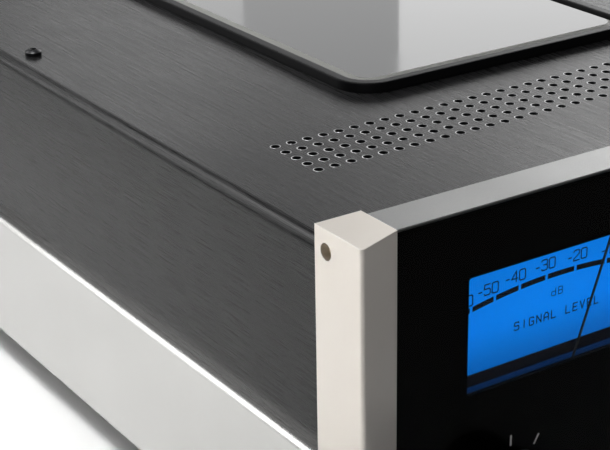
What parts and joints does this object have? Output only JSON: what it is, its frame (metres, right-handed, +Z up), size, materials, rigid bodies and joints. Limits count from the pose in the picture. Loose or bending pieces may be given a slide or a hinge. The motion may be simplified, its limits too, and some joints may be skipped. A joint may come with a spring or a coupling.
{
  "type": "power amplifier",
  "caption": "Compact stereo power amplifier with a glass front, lit level meters, a brushed vented cover, a polished steel pan and rear sockets.",
  "frame": {"origin": "on the floor under the middle of the overall outline", "axes": "+X to the right seen from the front, +Y from the front panel to the rear panel, +Z up"},
  "size_m": [0.29, 0.432, 0.1352],
  "materials": {
    "stainless": "polished stainless steel",
    "cover_black": "brushed, black anodised",
    "panel_black": "fine black powder coat",
    "black_steel": "black oxide screws",
    "frame_black": "gloss black",
    "plate_glass": "bevelled glass, painted black on its underside",
    "clear_glass": "clear, polished",
    "mask_black": "dead black",
    "grey_steel": "zinc-plated steel",
    "satin_grey": "satin, grey anodised",
    "satin_silver": "satin, clear anodised",
    "yellow_zinc": "yellow passivated",
    "rubber": "matt rubber",
    "zinc": "zinc plated",
    "housing_black": "moulded black",
    "dial_blue": "translucent, lit from behind",
    "needle_black": "matt black",
    "knob_black": "turned and black anodised",
    "switch_body": "moulded",
    "lens_red": "moulded light guide",
    "board_green": "solder-masked board",
    "board_white": "white solder mask",
    "moulded_black": "moulded black",
    "gold": "gold plated",
    "red_plastic": "moulded red",
    "white_plastic": "moulded white",
    "copper": "varnished copper winding under tape",
    "heat_sink_black": "black anodised extrusion",
    "cap_blue": "shrink sleeve"
  },
  "bodies": {
    "case": {"chassis_pan": "stainless", "rear_panel": "panel_black", "top_cover": "cover_black", "cover_screws": "black_steel", "rear_screws": "black_steel", "glass_frame": "frame_black", "top_glass": "plate_glass", "front_glass": "clear_glass", "front_mask": "mask_black", "front_subpanel": "grey_steel", "front_rail_top": "satin_grey", "front_rail_bottom": "satin_grey", "end_cap_left": "satin_silver", "end_cap_right": "satin_silver", "end_cap_screws": "yellow_zinc", "feet": "rubber", "foot_screws": "zinc", "meter_housings": "housing_black", "meter_dials": "dial_blue", "meter_movements": "zinc", "meter_lamp_boards": "board_white", "rotary_switches": "switch_body", "bush_nuts": "zinc", "status_lens": "lens_red", "control_board": "board_green", "mains_inlet": "moulded_black", "inlet_pins": "zinc", "xlr_sockets": "moulded_black", "rca_sockets": "gold", "input_switch": "grey_steel", "trigger_jacks": "moulded_black", "input_board": "board_green", "post_insulators": "moulded_black", "post_studs": "gold", "power_transformer": "copper", "transformer_fixings": "zinc", "heat_sinks": "heat_sink_black", "output_transistors": "moulded_black", "amp_boards": "board_green", "supply_boards": "board_green", "filter_capacitors": "cap_blue", "standoffs": "gold"},
    "needle_left": {"meter_needle_left": "needle_black"},
    "needle_right": {"meter_needle_right": "needle_black"},
    "knob_left": {"knob_left": "knob_black", "switch_shaft_left": "zinc"},
    "knob_right": {"knob_right": "knob_black", "switch_shaft_right": "zinc"},
    "fuse_drawer": {"fuse_drawer": "moulded_black"},
    "latch_left": {"xlr_latch_left": "zinc"},
    "latch_right": {"xlr_latch_right": "zinc"},
    "selector": {"input_switch_slider": "white_plastic"},
    "collar_1": {"post_collar_1": "gold"},
    "cap_1": {"post_cap_1": "moulded_black"},
    "collar_2": {"post_collar_2": "gold"},
    "cap_2": {"post_cap_2": "red_plastic"},
    "collar_3": {"post_collar_3": "gold"},
    "cap_3": {"post_cap_3": "moulded_black"},
    "collar_4": {"post_collar_4": "gold"},
    "cap_4": {"post_cap_4": "red_plastic"}
  },
  "joints": [
    {"name": "needle_left_swing", "type": "hinge", "parent": "case", "child": "needle_left", "pos_m": [-0.0661, -0.1897, 0.057], "axis": [0, 1, 0], "range_deg": [-59, 20], "stiffness_Nm_per_rad": 0.0004},
    {"name": "needle_right_swing", "type": "hinge", "parent": "case", "child": "needle_right", "pos_m": [0.0661, -0.1897, 0.057], "axis": [0, 1, 0], "range_deg": [-59, 20], "stiffness_Nm_per_rad": 0.0004},
    {"name": "knob_left_turn", "type": "hinge", "parent": "case", "child": "knob_left", "pos_m": [-0.088, -0.196, 0.0376], "axis": [0, -1, 0], "range_deg": [-30, 30]},
    {"name": "knob_right_turn", "type": "hinge", "parent": "case", "child": "knob_right", "pos_m": [0.088, -0.196, 0.0376], "axis": [0, -1, 0], "range_deg": [-30, 30]},
    {"name": "fuse_drawer_slide", "type": "slide", "parent": "case", "child": "fuse_drawer", "axis": [0, 1, 0], "range_m": [0, 0.014]},
    {"name": "latch_left_press", "type": "slide", "parent": "case", "child": "latch_left", "axis": [0, -1, 0], "range_m": [0, 0.0018], "stiffness_N_per_m": 100},
    {"name": "latch_right_press", "type": "slide", "parent": "case", "child": "latch_right", "axis": [0, -1, 0], "range_m": [0, 0.0018], "stiffness_N_per_m": 100},
    {"name": "selector_slide", "type": "slide", "parent": "case", "child": "selector", "axis": [1, 0, 0], "range_m": [0, 0.004]},
    {"name": "collar_1_slide", "type": "slide", "parent": "case", "child": "collar_1", "axis": [0, 1, 0], "range_m": [0, 0.004]},
    {"name": "cap_1_turn", "type": "hinge", "parent": "collar_1", "child": "cap_1", "pos_m": [-0.108, 0.189, 0.045], "axis": [0, 1, 0], "range_deg": [0, 1441]},
    {"name": "collar_2_slide", "type": "slide", "parent": "case", "child": "collar_2", "axis": [0, 1, 0], "range_m": [0, 0.004]},
    {"name": "cap_2_turn", "type": "hinge", "parent": "collar_2", "child": "cap_2", "pos_m": [-0.08895, 0.189, 0.045], "axis": [0, 1, 0], "range_deg": [0, 1441]},
    {"name": "collar_3_slide", "type": "slide", "parent": "case", "child": "collar_3", "axis": [0, 1, 0], "range_m": [0, 0.004]},
    {"name": "cap_3_turn", "type": "hinge", "parent": "collar_3", "child": "cap_3", "pos_m": [-0.062, 0.189, 0.045], "axis": [0, 1, 0], "range_deg": [0, 1441]},
    {"name": "collar_4_slide", "type": "slide", "parent": "case", "child": "collar_4", "axis": [0, 1, 0], "range_m": [0, 0.004]},
    {"name": "cap_4_turn", "type": "hinge", "parent": "collar_4", "child": "cap_4", "pos_m": [-0.04295, 0.189, 0.045], "axis": [0, 1, 0], "range_deg": [0, 1441]}
  ],
  "couplings": [
    {"joint": "cap_1_turn", "follows": "collar_1_slide", "rad_per_m": 6283.2},
    {"joint": "cap_2_turn", "follows": "collar_2_slide", "rad_per_m": 6283.2},
    {"joint": "cap_3_turn", "follows": "collar_3_slide", "rad_per_m": 6283.2},
    {"joint": "cap_4_turn", "follows": "collar_4_slide", "rad_per_m": 6283.2}
  ]
}
